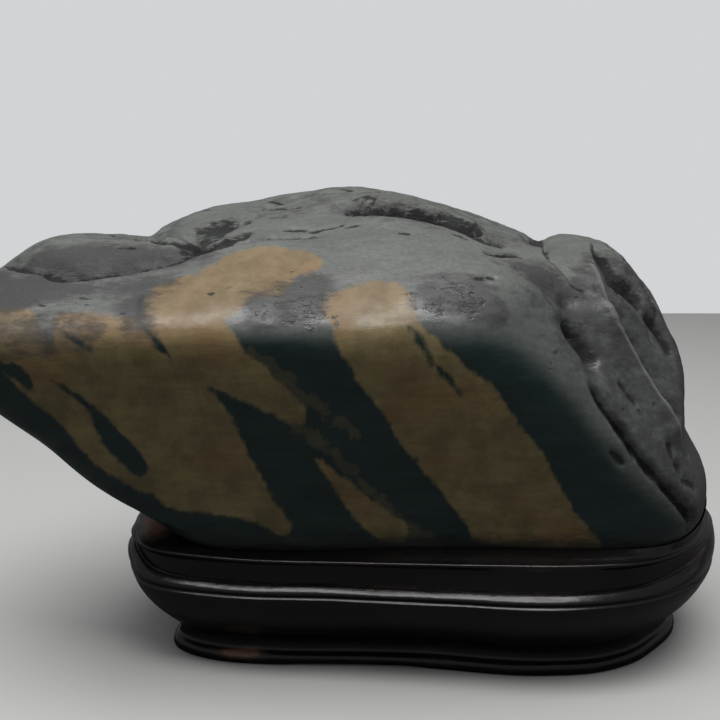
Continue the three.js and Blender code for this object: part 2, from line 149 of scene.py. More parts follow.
def nearest_on(curve, points):
    """Distance and offset of each point from the nearest place on a curve of straight runs, and how far
    along the curve that is, from 0 to 1."""
    distance = np.full(len(points), np.inf)
    offset = np.zeros_like(points)
    along = np.zeros(len(points))
    for index, (start, end) in enumerate(zip(curve, curve[1:])):
        run = end - start
        share = np.clip((points - start) @ run / (run @ run), 0, 1)
        rise = points - start - share[:, None] * run
        length = np.linalg.norm(rise, axis=1)
        nearer = length < distance
        distance[nearer] = length[nearer]
        offset[nearer] = rise[nearer]
        along[nearer] = (index + share[nearer]) / (len(curve) - 1)
    return distance, offset, along


# The ledges and grooves: path, depth (less than 0 is a ridge), width on the near and on the far side,
# width of the painted shade on the far side, the far side's direction, and how ragged the edge is.
grooves = [
    # ledge under the left lobe
    ([(-130, -13, 120.5), (-120, -24.5, 121), (-113.5, -28, 121.5), (-106, -33, 120.5), (-99, -32, 122),
      (-92, -30, 123), (-86, -28.5, 124.5), (-80.5, -27, 125.5), (-75, -25.5, 126.5), (-70, -22.5, 128.5),
      (-64, -20.5, 129.5), (-57, -18, 131)], 4.4, 1.0, 6.5, 3.4, (0, 1, 0), 0.25),
    # crease that carries the ledge on to the right
    ([(-60, -19, 130.5), (-52.5, -18.5, 131.5), (-46.5, -19, 132), (-40.5, -18.5, 132.5), (-33, -18, 133)],
     1.7, 0.9, 2.6, 2, (0, 1, 0), 0.5),
    # mouth of the left hollow
    ([(-91, 6, 132.5), (-87, -2, 132.5), (-81, -8, 132), (-76, -10.5, 132), (-71, -12, 132),
      (-65, -11.5, 133), (-61.5, -8, 135), (-57, -1, 137.5)], 4.4, 1.0, 5.5, 3, (0, 1, 0), 0.7),
    # small ledges in front of the left hollow
    ([(-88, -7, 131.5), (-83, -13.5, 130.5), (-76, -15.5, 130.5), (-68, -15.5, 131.5)],
     1.8, 0.9, 2.2, 1.6, (0, 1, 0), 0.6),
    ([(-77, -20, 129), (-72, -18, 130), (-65.5, -16.5, 131.5), (-59, -14, 133), (-55, -12.5, 134)],
     1.7, 0.9, 2.4, 2, (0, 1, 0), 0.5),
    # long groove of the crest, and the wall behind it
    ([(-29, -3, 139.5), (-23.5, -6.5, 138), (-14, -8.5, 137), (-5, -9.5, 136.5), (1, -10.5, 135),
      (5.5, -11.5, 134), (10, -13, 133), (14.5, -15.5, 131), (17.5, -14.5, 130), (21.5, -8, 130)],
     4.8, 0.9, 3, 3.8, (0, 1, 0), 0.2),
    ([(-26, 0.5, 140), (-14, -4, 138.5), (-5, -5, 137.5), (1, -5.8, 136.5), (5.5, -6.5, 135.5),
      (10, -7, 134), (15, -7, 132.5)], -3.2, 1.4, 9, 0, (0, 1, 0), 0.5),
    # deep right part of it
    ([(-1, -9.5, 135.5), (5.5, -10.5, 134), (10, -11.8, 132.5), (14.5, -14.2, 130.5), (17, -11.5, 130.5)],
     2.6, 0.8, 3.2, 5.6, (0, 1, 0), 0.3),
    # second line inside it
    ([(0, -7, 137.5), (4, -5.5, 136.5), (9, -6, 135)], 1.4, 0.9, 2, 2, (0, 1, 0), 0.6),
    # left saddle
    ([(-88, -6, 131), (-92, 15, 133), (-96, 45, 125)], 2.6, 7, 7, 0, (1, 0, 0), 0),
    # right saddle
    ([(35, -2, 126), (35.5, 12, 128), (35.5, 40, 122)], 3.2, 5, 2.4, 1.2, (1, 0, 0), 0.3),
    # edge of the flaked patch
    ([(14.5, -33, 126.5), (18, -32.5, 126), (20.5, -33, 124.5), (23, -33.5, 123), (26, -34, 120.5),
      (28.5, -34, 118.5), (30, -35.5, 116)], 1.5, 0.8, 4, 1.2, (1, 0.5, 0.3), 0.3),
    # crack across the right of the top
    ([(36, 4, 126.5), (33.5, -9, 125.5), (34, -13.5, 124.5), (36, -16, 123), (38, -18.5, 121),
      (41, -21, 118), (44.5, -20.5, 115.5)], 2.0, 0.8, 2.2, 1.2, (1, 0.3, 0), 0.5),
    # rough pit
    ([(34, -37.5, 110), (37, -37, 106), (40, -36.5, 102.5), (42.5, -38.5, 98)],
     3.2, 2.6, 3.4, 4.2, (1, 0, 0), 0.9),
    # ridge beside the hollow of the right end
    ([(43.5, -9, 120), (45.5, -13, 117.5), (47, -17, 114), (49, -20.5, 110), (51, -22.5, 106)],
     -1.8, 3.5, 1.3, 0, (1, 0.3, 0), 0.2),
    # hollow of the right end
    ([(49, 2, 121), (49.5, -5, 119), (52, -9, 115.5), (56, -8.5, 113), (60, -6.5, 110.5), (63, -6, 107)],
     6.0, 1.6, 6.5, 6.5, (1, 0.2, 0.2), 0.7),
    # front ridge of the right end, and the groove behind it
    ([(46, -20, 114), (48.5, -23.5, 108), (52, -24, 103), (56.5, -25.5, 96.5), (60.5, -27, 90),
      (63.5, -28, 85), (67.5, -28.5, 79.5), (71.5, -30, 72.5)], -3.2, 5, 1.2, 0, (1, 0.5, 0), 0.15),
    ([(51, -21, 108), (55, -21.5, 103), (59.5, -22.5, 96), (63, -23.5, 90), (66, -25, 84.5), (70, -25.5, 79),
      (73.5, -26, 74)], 4.8, 1.2, 5.5, 5, (1, 0.5, 0), 0.3),
    # dark streaks near the right end's edge
    ([(66, 5, 112), (68.5, 5, 110), (70, 3, 107.5), (71.5, 1, 104.5)], 2.2, 1, 2, 2, (1, 0, 0), 0.5),
    ([(66.5, -5, 106), (71, -4, 101.5), (73.5, -4.5, 97.5), (75.5, -5.5, 93.5)],
     3.8, 1.2, 3, 3.4, (1, 0, 0), 0.6),
    ([(78, 3.5, 95), (80, 4.5, 91.5), (80, 2.5, 89)], 2, 1.2, 2, 2, (1, 0, 0), 0.5),
    # crack of the right end
    ([(40.5, -43.5, 93), (44.5, -43.5, 87.5), (47.5, -43.5, 83.5), (51, -43, 79), (53.5, -43, 75),
      (56.5, -42.5, 71), (62, -41, 65), (65.5, -40, 61), (69.5, -38.5, 56.5), (74.5, -34.5, 50.5),
      (75, -32.5, 46)], 3.2, 1.2, 1.6, 1.2, (1, 0.5, 0), 0.5),
    # ledge of the back
    ([(-100, 34, 108), (-62, 52, 116), (-20, 55, 112), (20, 53, 103), (52, 42, 90)],
     4, 1.8, 9, 1.5, (0, 0, 1), 1.2),
    # hollow of the back
    ([(-52, 55, 84), (-26, 56, 77), (2, 55, 70)], 3.2, 7, 5, 0, (0, 0, 1), 0.8),
    # crack of the back
    ([(26, 50, 118), (36, 50, 94), (46, 46, 68), (50, 42, 52)], 2.6, 1.5, 2.6, 1.2, (1, 0, 0), 1.1),
]

# Small nicks and creases, too fine for a face of their own: path, depth and width.
nicks = [
    ([(-24.5, 2, 142), (-18.5, -1.5, 141)], 1.4, 1.1),
    ([(-17, 12.5, 145), (-13, 10, 144), (-10, 10.5, 143.5)], 1.5, 1.2),
    ([(-29, 15, 145.5), (-26, 12.5, 145)], 1.0, 1.0),
    ([(-4.5, 10, 142), (-2, 9.5, 141.5), (1, 9.5, 140.5)], 1.4, 1.1),
    ([(8, 14.5, 138.5), (11.5, 12.5, 137)], 1.3, 1.1),
    ([(15, 19.5, 136.5), (18, 19.5, 135.5)], 1.2, 1.0),
    ([(14.5, -26.5, 129), (17.5, -25.5, 128.5), (24, -19.5, 127.5)], 2.2, 1.3),
    ([(-52.5, 14, 142), (-48.5, 9, 142)], 1.0, 1.1),
    ([(-54, 5.5, 140), (-48.5, 4.5, 141), (-42, 3, 141)], 1.0, 0.9),
    ([(-50.5, -2.5, 138.5), (-46, -3, 138.5)], 0.8, 0.9),
    ([(-45.5, -13.5, 134.5), (-36.5, -14.5, 134.5), (-28.5, -13, 136)], 1.0, 0.9),
    ([(-27.5, -14.5, 135), (-24, -15, 135)], 0.8, 0.9),
    ([(5, -17.5, 133.5), (8.5, -18, 132.5)], 0.9, 0.9),
    ([(12, -41, 123), (13.5, -41, 123)], 0.8, 0.8),
    ([(8.5, -42, 123), (10.5, -42, 123)], 0.8, 0.8),
    ([(-103, -29, 122.5), (-99, -30, 122.5)], 1.2, 0.9),
    ([(-121, 0, 128), (-119, 1, 128)], 0.9, 0.9),
    ([(-105, 10, 129.5), (-96, -3.5, 130), (-90, -9, 130.5)], 0.9, 0.9),
    ([(-94, -16.5, 128), (-90, -16.5, 128.5)], 0.9, 0.9),
    ([(-84.5, -25.5, 125.5), (-78.5, -26.5, 126)], 0.8, 0.8),
    ([(-11.5, -20.5, 133), (-9, -21, 133)], 0.6, 1.0),
    ([(51, -34.5, 92), (52.5, -34.5, 90.5)], 0.9, 1.0),
    ([(54, -35, 88.5), (56, -35, 86.5)], 0.9, 1.0),
    ([(66, -34.5, 73.5), (67, -35.5, 71)], 1.2, 1.1),
    ([(69, -35.5, 68.5), (70, -35.5, 66.5)], 1.3, 1.1),
    ([(71, -36, 63.5), (74, -32.5, 61)], 0.9, 1.1),
    ([(74.5, -26.5, 70.5), (76.5, -24, 68.5)], 1.1, 1.1),
    ([(48.5, -46.5, 74.5), (52, -45.5, 71)], 0.8, 0.9),
    ([(-30, 40, 138), (-24, 42, 136)], 1.2, 1.2),
    ([(62, 30, 100), (66, 26, 92)], 1.4, 1.4),
    ([(74, 22, 78), (76, 20, 70)], 1.3, 1.3),
]

# Round swellings: middle, height (less than 0 is a pit) and reach each way.
lumps = [
    ((-121, 2, 124), 6.5, (22, 34, 16)),  # left lobe
    ((-66, -3, 135), -4.5, (9, 6, 7)),  # depth of the left hollow
    ((37, -29, 114.5), -2.2, (4.5, 4.5, 2.6)),  # dark pit under the flaked patch
    ((38.5, -35.5, 107), -2.4, (5, 6, 5.5)),  # broken hollow below it
    ((43, -37.5, 99.5), -2.2, (4, 6, 4.5)),  # its lower end
    ((56, 12, 124.5), 11, (17, 26, 14)),  # right lobe
    ((34, -27, 120), -1.6, (8, 9, 7)),  # flaked patch
    ((72, 4, 109), 1.9, (9, 14, 8)),  # swelling above the right knuckle
    ((82, 4, 95), 3.3, (8, 14, 10.5)),  # right knuckle
    ((86, -8, 70), -4, (12, 26, 10)),  # right waist
]

# Long shallow waves of the worn faces: direction, length, phase and height.
waves = [
    ((1, 0.3, 0.2), 46, 0.4, 0.5),
    ((0.2, 1, -0.4), 37, 1.7, 0.5),
    ((-0.5, 0.2, 1), 29, 0.2, 0.35),
    ((0.8, -0.6, 0.5), 19, 2.6, 0.22),
]


def weathering(points, out):
    """How weathered the skin is, 0 on the polished front and underside to 1 on top: it grows with the
    part of the outward direction that faces up and back, and less toward the right end."""
    facing = out @ np.array([-0.28, 0.25, 0.9])
    return np.clip(0.42 + 1.6 * facing + 0.12 * noise(points, 14, 40, 2), 0, 1)


def close_to(curve, points, margin):
    """Which points lie in the box around a curve, with a margin each way."""
    return np.all((points > curve.min(axis=0) - margin) & (points < curve.max(axis=0) + margin), axis=1)


def deepen(hollow, close, share, most):
    """Makes the close points hollow by at least most times their share, where that share is above 0.1."""
    hollow[close] = np.where(share > 0.1, np.maximum(hollow[close], min(1, most) * share), hollow[close])


crest_width = 1.5  # half the width of the painted highlight along a sharp ridge
small_lump = 10  # a pit that reaches less far than this is darkened inside as painted shade
seated_below = 42  # the part that sits in the stand is smooth
seated_blend = 14


def stone_relief(points, out):
    """How far the surface stands out from the block, and how hollow each point is. A groove's depth falls
    away as exp(-(distance / width)**2), made ragged by noise, and fades at its ends. Hollow runs from 0 to
    1 in grooves, nicks and pits, where the material darkens them as painted shade with some dirt, and is less
    than 0 along the crests of sharp ridges, where it pales them as a painted highlight."""
    height = np.zeros(len(points))
    hollow = np.zeros(len(points))
    ragged = 0.8 * noise(points, 6, 11) + 0.6 * noise(points, 2.4, 12)
    depth_change = 1 + 0.35 * noise(points, 5, 13, 2)
    for path, depth, near, far, dark_far, to_far, raggedness in grooves:
        curve = laid_path(path)
        close = close_to(curve, points, 2.8 * max(near, far))
        distance, offset, along = nearest_on(curve, points[close])
        before_lip = offset @ to_far < 0
        distance = np.abs(distance + raggedness * ragged[close])
        fade = np.clip(0.3 + 7 * along, 0, 1) * np.clip(0.3 + 7 * (1 - along), 0, 1)
        cut = np.exp(-((distance / np.where(before_lip, near, far)) ** 2)) * fade
        height[close] -= depth * cut * (depth_change[close] if depth > 0 else 1)
        # Along the crest of a sharp ridge hollow goes below 0, which the material paints as a pale highlight.
        if depth < 0 and raggedness < 0.3:
            crest = np.exp(-((distance / crest_width) ** 2)) * fade
            hollow[close] = np.where(crest > 0.2, -0.6 * crest, hollow[close])
        # The far side of a groove, and a little of its near side, are made hollow, which the material darkens
        # as painted shade with some dirt.
        if dark_far > 0:
            dark = np.exp(-((distance / np.where(before_lip, 0.6 * near, dark_far)) ** 2)) * fade
            deepen(hollow, close, dark, 0.3 + depth / 5)
    for path, depth, width in nicks:
        curve = laid_path(path)
        close = close_to(curve, points, 5)
        distance, _, _ = nearest_on(curve, points[close])
        cut = np.exp(-((np.abs(distance + 0.35 * ragged[close]) / width) ** 2))
        height[close] -= depth * cut
        # Nicks are darkened inside as painted shade with some dirt.
        deepen(hollow, close, cut, 0.45 + 0.3 * depth)
    for middle, rise, reach in lumps:
        bump = rise * np.exp(-np.sum(((points - middle) / reach) ** 2, axis=1))
        height += bump
        # Small pits are darkened inside as painted shade.
        if max(reach) < small_lump:
            hollow = np.where(bump < -0.5, np.maximum(hollow, -bump / 6), hollow)
    seat = np.clip((points[:, 2] - seated_below) / seated_blend, 0, 1)
    smooth_front = 1 - 0.75 * np.maximum(0, -out[:, 1]) ** 2
    for along_wave, length, phase, rise in waves:
        turn = 2 * np.pi * (points @ unit(along_wave)) / length + phase
        height += smooth_front * seat * rise * np.sin(turn)
    worn = weathering(points, out) * seat
    rough = np.clip(0.35 + (points[:, 0] - 20) / 50, 0.35, 1.0) + 0.5 * np.clip((points[:, 1] + 5) / 20, 0, 1)
    height += worn * rough * (0.3 * noise(points, 9, 21, 3) - 0.25 * np.abs(noise(points, 5, 25, 2)))
    height += seat * 0.06 * noise(points, 7, 28)
    return height, np.clip(hollow, -1, 1)


def box_grid(half, counts, tilts):
    """Directions through a grid on the six sides of a box, and its quads. Along each axis the stops are
    t + tilt (t**2 - 1) / 2 for t from -1 to 1, so that a tilt above 0 sets them closer at the low end."""
    stops = []
    for length, count, tilt in zip(half, counts, tilts):
        t = np.linspace(-1, 1, count + 1)
        stops.append(length * (t + tilt * (t**2 - 1) / 2))
    corners, quads, first = [], [], 0
    for axis in range(3):
        a, b = (axis + 1) % 3, (axis + 2) % 3
        for side in (0, -1):
            side_a, side_b = np.meshgrid(stops[a], stops[b], indexing="ij")
            grid = np.zeros((*side_a.shape, 3))
            grid[..., axis] = stops[axis][side]
            grid[..., a] = side_a
            grid[..., b] = side_b
            index = first + np.arange(side_a.size).reshape(side_a.shape)
            quad = np.stack([index[:-1, :-1], index[1:, :-1], index[1:, 1:], index[:-1, 1:]], axis=-1)
            quad = quad.reshape(-1, 4)
            quads.append(quad[:, ::-1] if side == 0 else quad)
            corners.append(grid.reshape(-1, 3))
            first += side_a.size
    corners = np.concatenate(corners)
    keys = np.round(corners * 1000).astype(np.int64)
    _, kept, renamed = np.unique(keys, axis=0, return_index=True, return_inverse=True)
    return corners[kept], renamed.reshape(-1)[np.concatenate(quads)]


def in_scene(name, data):
    """An object of the scene that holds a mesh, a light or a camera."""
    made = bpy.data.objects.new(name, data)
    bpy.context.scene.collection.objects.link(made)
    return made


def new_piece(name, points, faces, attributes):
    """A smooth-shaded mesh object from points in millimetres, the corner numbers of its faces, and one
    number per point for each named attribute."""
    mesh = bpy.data.meshes.new(name)
    mesh.from_pydata((points * millimetre).tolist(), [], faces)
    mesh.polygons.foreach_set("use_smooth", np.ones(len(mesh.polygons), bool))
    for key, values in attributes.items():
        mesh.attributes.new(key, "FLOAT", "POINT").data.foreach_set("value", values.astype(np.float32))
    mesh.update()
    return in_scene(name, mesh)


def rounded(outline):
    """Corner cutting, twice: each run gives way to its points at a quarter and at three quarters."""
    outline = np.array(outline, float)
    for _ in range(2):
        ends = np.roll(outline, -1, axis=0)
        outline = np.stack([0.75 * outline + 0.25 * ends, 0.25 * outline + 0.75 * ends], axis=1)
        outline = outline.reshape(-1, 2)
    return outline


def within(places, outline):
    """How far inside a closed outline each place is, or less than 0 outside. Inside is where a level line
    crosses the outline an odd number of times."""
    outline = rounded(outline)
    outline = np.vstack([outline, outline[:1]])
    across, up = places.T
    inside = np.zeros(len(places), bool)
    for (a, b), (c, d) in zip(outline, outline[1:]):
        crosses = (b > up) != (d > up)
        inside ^= crosses & (across < a + (up - b) / ((d - b) or 1) * (c - a))
    nearest = nearest_on(outline, places)[0]
    return np.where(inside, nearest, -nearest)


def within_any(places, outlines):
    """How far inside any of several closed outlines each place is: the largest of its distances."""
    return np.maximum.reduce([within(places, outline) for outline in outlines])


def streak(places, path, half_width):
    """How far inside a thin streak along an open path each place is. The streak is widest in the middle,
    and its width falls away to both ends as the root of a sine."""
    distance, _, along = nearest_on(np.array(path, float), places)
    return half_width * np.sin(np.pi * np.clip(along, 0.08, 0.92)) ** 0.5 - distance


# The markings are outlines on the front as it is seen from a little above: across, and up the stone.
up_from_height = 0.978
up_from_depth = 0.208
marking_reach = 9  # no marking's distance counts for more
painted_shade_below = 46  # height below which the stone is darkened as painted shade of the stand
left_band = [
    (-160, 102), (-124, 103), (-119, 104), (-111, 103), (-107.5, 101), (-106.5, 97.5), (-104.5, 95),
    (-103, 93), (-101.5, 93.5), (-103, 97.5), (-103.5, 101), (-101, 102.5), (-94, 101.8), (-86, 101),
    (-81.5, 99.8), (-80, 100.5), (-81, 105), (-80.5, 109), (-76, 111.5), (-70.5, 113), (-66, 115),
    (-62, 118.5), (-57.5, 121), (-51, 122), (-44.5, 122), (-38.5, 120.5), (-33, 117.5), (-34.5, 114.5),
    (-39, 112.5), (-42.5, 110.5), (-43.5, 106.5), (-47, 106), (-51, 106.5), (-53.5, 104.5), (-55, 101.5),
    (-59, 100), (-56.5, 96), (-52.5, 92), (-49, 89), (-45, 84.5), (-41, 80.5), (-38, 77), (-38, 71.5),
    (-44.5, 74), (-49.5, 76.5), (-54.5, 79), (-64, 83), (-61, 80), (-59, 76), (-56.5, 72), (-55, 67),
    (-53, 61), (-50, 55), (-47, 49.5), (-44.5, 45), (-43, 40), (-45, 37.5), (-48, 39), (-51.5, 41.5),
    (-57, 44), (-66, 45.5), (-74, 45.5), (-80.5, 49.5), (-86, 53), (-92.5, 56.5), (-98.5, 61.5),
    (-103, 69.5), (-107, 74), (-110.5, 78.5), (-114, 82.5), (-118, 88), (-124, 90), (-160, 88),
]
right_band = [
    (-7.5, 98), (-8.5, 103), (-9.5, 107), (-12, 109.5), (-16.5, 111), (-22, 110.5), (-26.5, 109),
    (-30.5, 107.5), (-33, 105), (-34, 102.5), (-32, 100), (-30, 97.5), (-29, 94), (-27, 90),
    (-24, 85.5), (-21.5, 81), (-18, 76), (-14, 70.5), (-10, 64.5), (-5, 58.5), (-0.5, 53), (4, 47.5),
    (8, 41.5), (12, 35), (48, 33), (47, 35.5), (43.5, 40.5), (39, 45.5), (35.5, 50), (33, 55),
    (29, 61), (25.5, 65.5), (22, 69.5), (18, 74.5), (14, 79.5), (10, 84), (5, 87.5), (0.5, 91),
    (-2.5, 94), (-5.5, 97),
]
middle_patch = [
    (-36.5, 63), (-31.5, 60), (-27.5, 56.5), (-23.5, 52.5), (-18.5, 48.5), (-12.5, 44.5), (-8.5, 40.5),
    (-10.5, 36), (-16, 35.5), (-21.5, 41), (-26, 46), (-29, 51), (-32, 56.5),
]
dark_wedge = [
    (-121, 91), (-117, 89.3), (-114, 89), (-111, 86.5), (-109, 82.5), (-111, 80.5), (-114, 84), (-118, 86),
]
dark_tongue = [
    (-106, 85), (-102, 83.5), (-97.5, 80), (-93.5, 76.5), (-90, 72), (-86, 67.5), (-83, 63), (-82, 58.5),
    (-85.5, 56.5), (-89.5, 60.5), (-93, 64.5), (-95, 69), (-95.5, 73.5), (-98, 78), (-101.5, 81),
]
upper_olive = [
    (-54.5, 92), (-50, 88), (-45, 83), (-39.5, 78.5), (-33.5, 74.5), (-28, 71), (-22, 67.5), (-23.5, 71),
    (-28.5, 75), (-34, 79.5), (-41, 84.5), (-46.5, 89), (-51, 92.5),
]
lower_olive = [
    (-47, 76), (-44, 74.5), (-39, 72.5), (-34.5, 69), (-29, 64), (-24, 58.5), (-19.5, 53.5), (-14, 47),
    (-6, 42), (4, 34), (-14, 34), (-18, 46), (-22.5, 54), (-27, 58.5), (-31.5, 62), (-36, 66),
    (-40.5, 70),
]
left_chip = [
    (-47, 102), (-46, 105.5), (-39, 106.5), (-33, 105.5), (-30, 102.5), (-31, 99.5), (-37, 99), (-43, 99.5),
]
right_chip = [
    (-6.5, 104), (-5, 107), (0, 108.5), (5.5, 107.5), (9, 105.5), (8, 102.5), (3, 101), (-2.5, 101.5),
    (-5.5, 102.5),
]
dark_veins = [
    ([(-82, 106), (-80.5, 101), (-78, 97), (-74.5, 92.5), (-71.5, 89.5)], 1.1),
    ([(-10.5, 98.5), (-8, 95.5), (-5, 90.5), (-4.2, 88.3)], 1.1),
    ([(-3, 87.8), (0.5, 84.5), (3, 81), (4.5, 79)], 0.9),
    ([(-101, 97.5), (-98.5, 95.5), (-95, 93.5), (-92.5, 91.5)], 0.35),
]
# The bands come out again on the back: across, and height.
back_bands = [
    [(-150, 106), (-118, 106), (-104, 98), (-92, 84), (-84, 72), (-90, 66), (-104, 76), (-116, 88),
     (-150, 88)],
    [(-66, 119), (-48, 117), (-34, 100), (-20, 78), (-6, 56), (2, 38), (-26, 38), (-38, 62), (-52, 84),
     (-64, 104)],
    [(14, 112), (30, 108), (40, 84), (50, 60), (54, 40), (38, 40), (30, 66), (20, 88), (12, 102)],
]

# Darker patches on the weathered top, seen in the same way: a brown patch and a dark joint at the left are
# stains, and the rest are mostly painted shade, below the left lobe, at the shoulder beside the tan bands and
# about the flaked patch. And the grey that spreads over the right end.
stain_and_shade_outlines = [
    [(-124, 117), (-112, 115.5), (-103.6, 112.8), (-97.8, 112.8), (-86.3, 114), (-75, 116.3),
     (-66, 119), (-64, 122), (-76, 122.5), (-90, 123), (-105, 124), (-118, 122)],
    [(-142, 116), (-110, 114), (-104, 111.6), (-94, 110.6), (-83, 111.6), (-72, 113), (-78.5, 109),
     (-80.5, 107), (-86, 107), (-94, 107.5), (-105, 106), (-116, 102), (-142, 100)],
    [(-112, 101), (-106, 102), (-103.5, 97), (-104, 93), (-108, 92.5), (-112, 96)],
    [(-87, 107), (-79.5, 107), (-78, 101), (-76, 96.5), (-82.5, 96), (-86, 101)],
    [(-44, 108.4), (-40, 113), (-32, 112), (-30, 108), (-33, 105.5), (-34, 101), (-46, 98),
     (-53, 99), (-54, 107)],
    [(-10, 106), (-6, 111), (1.5, 112.5), (9.5, 111), (14, 107), (16, 101), (12, 99), (6.5, 101),
     (-1.5, 101.5), (-8, 102.5)],
    [(18, 117), (28, 117.4), (34, 115.7), (38, 111), (42.5, 107.5), (34, 106.5), (29.5, 106.5), (25.5, 111),
     (20, 114.5)],
    [(32, 104), (36, 105.5), (42, 104), (42, 101), (36, 101)],
    [(35, 99), (41, 98.5), (45, 94), (46.5, 89), (42, 87.5), (38, 90), (35, 95)],
]
grey_end = [
    (-10, 140), (0, 98), (6, 95.5), (19, 92), (26, 85.5), (32, 79), (37, 73), (43, 66), (48, 60),
    (51.5, 56), (58, 51), (64.5, 46), (72.5, 40), (80, 30), (130, 30), (130, 140),
]

# Parts that are faintly darkened all over, and the most that the distance inside them counts for: the
# crest and the left lobe, which are stained, and the right end and the strip below the left lobe, which are
# darkened as painted shade.
faint_stain_and_shade_outlines = [
    ([(-60, 150), (-58, 134), (-30, 138), (-14, 133), (1, 130), (10, 128.5), (20, 127), (34, 126), (40, 150)],
     -1.7),
    ([(-142, 140), (-142, 117), (-110, 116), (-75, 120), (-80, 140)], -1.7),
    ([(36, 107), (44, 119), (52, 123), (62, 121), (78, 116), (120, 110), (120, 40), (74, 40), (66, 47),
      (56, 60), (48, 75), (40, 92)], 0.1),
    ([(-142, 101.5), (-104, 100.5), (-92, 100), (-89, 97), (-95, 91), (-142, 90)], 0.2),
]


def surface_out(points, quads):
    """Each point's outward direction: the sum, over the quads around it, of the cross products of their
    diagonals."""
    corners = points[quads]
    across = np.cross(corners[:, 2] - corners[:, 0], corners[:, 3] - corners[:, 1])
    total = np.zeros_like(points)
    for corner in range(4):
        np.add.at(total, quads[:, corner], across)
    return unit(total)


def stone_markings(points, out, worn_out):
    """The markings at each point. Skin runs from 0 where the stone is polished to 1 where it is grey. The
    others are signed distances in millimetres, more than 0 inside the marking. The front's outlines give
    way to the back's where the block's outward direction turns back. The stain marking holds painted shade
    as well as stains: the sides of the worn surface that face right, the stone below the stand's rim, and
    much of what its outlines cover are darkened as painted shade."""
    seen = np.stack([points[:, 0], up_from_height * points[:, 2] + up_from_depth * points[:, 1]], axis=1)
    vein = np.maximum.reduce([streak(seen, path, half_width) for path, half_width in dark_veins])
    tan = within_any(seen, (left_band, right_band, middle_patch))
    tan = np.minimum(tan, -np.maximum(vein, within_any(seen, (dark_wedge, dark_tongue))))
    turn = np.clip(0.5 + out[:, 1] / 0.5, 0, 1)
    front_only = -12 * turn
    stain_and_shade = within_any(seen, stain_and_shade_outlines)
    for outline, most in faint_stain_and_shade_outlines:
        stain_and_shade = np.maximum(stain_and_shade, np.minimum(within(seen, outline), most))
    stain_and_shade = stain_and_shade - 10 * np.clip((out[:, 1] + 0.05) / 0.7, 0, 1)
    # The sides of the worn surface that face right are darkened as painted shade.
    stain_and_shade = np.maximum(stain_and_shade, 12 * (worn_out @ np.array([0.9, 0.25, 0.1]) - 0.55))
    greyed = np.clip((within(seen, grey_end) + 2.5) / 7, 0, 1)
    skin = weathering(points, out) * (1 - np.clip(vein + 1, 0, 1))
    distances = {
        # Below the stand's rim the stone is darkened as painted shade.
        "stain_and_shade": np.maximum(stain_and_shade, painted_shade_below - points[:, 2]),
        "tan": tan * (1 - turn) + within_any(points[:, [0, 2]], back_bands) * turn,
        "olive": within_any(seen, (upper_olive, lower_olive)) + front_only,
        "chipped": within_any(seen, (left_chip, right_chip)) + front_only,
    }
    markings = {name: np.clip(value, -marking_reach, marking_reach) for name, value in distances.items()}
    markings["skin"] = np.maximum(skin, 0.7 * greyed**2 * (3 - 2 * greyed))
    return markings


grid, stone_quads = box_grid(half=(100, 50, 46), counts=(212, 84, 92), tilts=(-0.2, 0.25, -0.25))
block_points = on_block(grid)
block_out = unit(block_height(block_points)[1])
relief, hollow = stone_relief(block_points, block_out)
stone_points = block_points + block_out * relief[:, None]
stone = new_piece("suiseki_stone", stone_points, stone_quads.tolist(), {
    **stone_markings(stone_points, block_out, surface_out(stone_points, stone_quads)),
    "polish": np.clip(-0.9 - 3 * block_out[:, 1], 0, 1),
    "hollow": hollow,
})


def add_node(tree, kind, inputs=None, **settings):
    """A node in a tree, with its settings, and with a value or another node's socket for each input."""
    made = tree.nodes.new(kind)
    for name, value in settings.items():
        setattr(made, name, value)
    for name, value in (inputs or {}).items():
        if isinstance(value, bpy.types.NodeSocket):
            tree.links.new(value, made.inputs[name])
        else:
            made.inputs[name].default_value = value
    return made


def calculate(tree, operation, *values, clamp=False):
    """The result of one step of arithmetic on numbers or number sockets."""
    return add_node(tree, "ShaderNodeMath", dict(enumerate(values)), operation=operation,
                    use_clamp=clamp).outputs[0]


def scaled(tree, value, factor, added=0.0):
    """A number times a factor, plus another number. Each may be a socket."""
    return calculate(tree, "MULTIPLY_ADD", value, factor, added)


def blend(tree, share, first, second):
    """A colour between two colours or colour sockets."""
    mixed = add_node(tree, "ShaderNodeMix", {0: share, 6: first, 7: second}, data_type="RGBA")
    return mixed.outputs[2]


def between(tree, value, low, high):
    """A number eased from 0 at the low value to 1 at the high one."""
    return add_node(tree, "ShaderNodeMapRange",
                    {"Value": value, "From Min": low, "From Max": high},
                    interpolation_type="SMOOTHSTEP").outputs["Result"]


def grain(tree, place, size, detail=3.0, roughness=0.55):
    """Noise with features of about a size in millimetres."""
    return add_node(tree, "ShaderNodeTexNoise",
                    {"Vector": place, "Scale": 1 / size, "Detail": detail, "Roughness": roughness},
                    ).outputs["Fac"]


